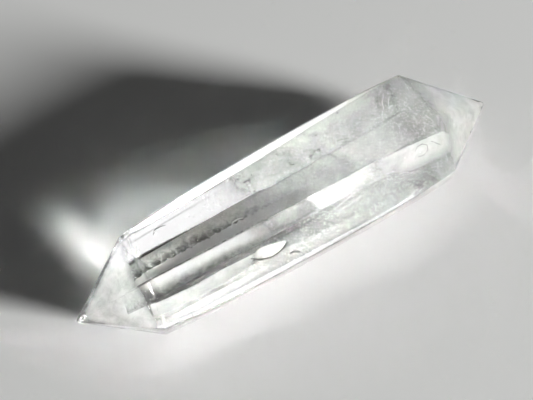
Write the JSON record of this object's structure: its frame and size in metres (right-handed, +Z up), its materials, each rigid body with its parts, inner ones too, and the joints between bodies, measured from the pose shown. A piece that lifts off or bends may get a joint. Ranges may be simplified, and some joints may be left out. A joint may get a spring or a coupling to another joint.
{
  "type": "double terminated quartz point",
  "caption": "Polished clear quartz crystal: a prism that tapers to a faceted point at each end, lying on one of its flat faces.",
  "frame": {"origin": "centre of the box's bottom, on the flat prism face that the crystal lies on", "axes": "+X runs along the crystal from its thinner to its thicker end, -Y is the side that faces the viewer, +Z is up out of the surface it lies on"},
  "size_m": [0.0764, 0.021, 0.0183],
  "materials": {
    "quartz_point": "polished clear quartz"
  },
  "bodies": {
    "root": {"quartz_point": "quartz_point"}
  },
  "joints": []
}
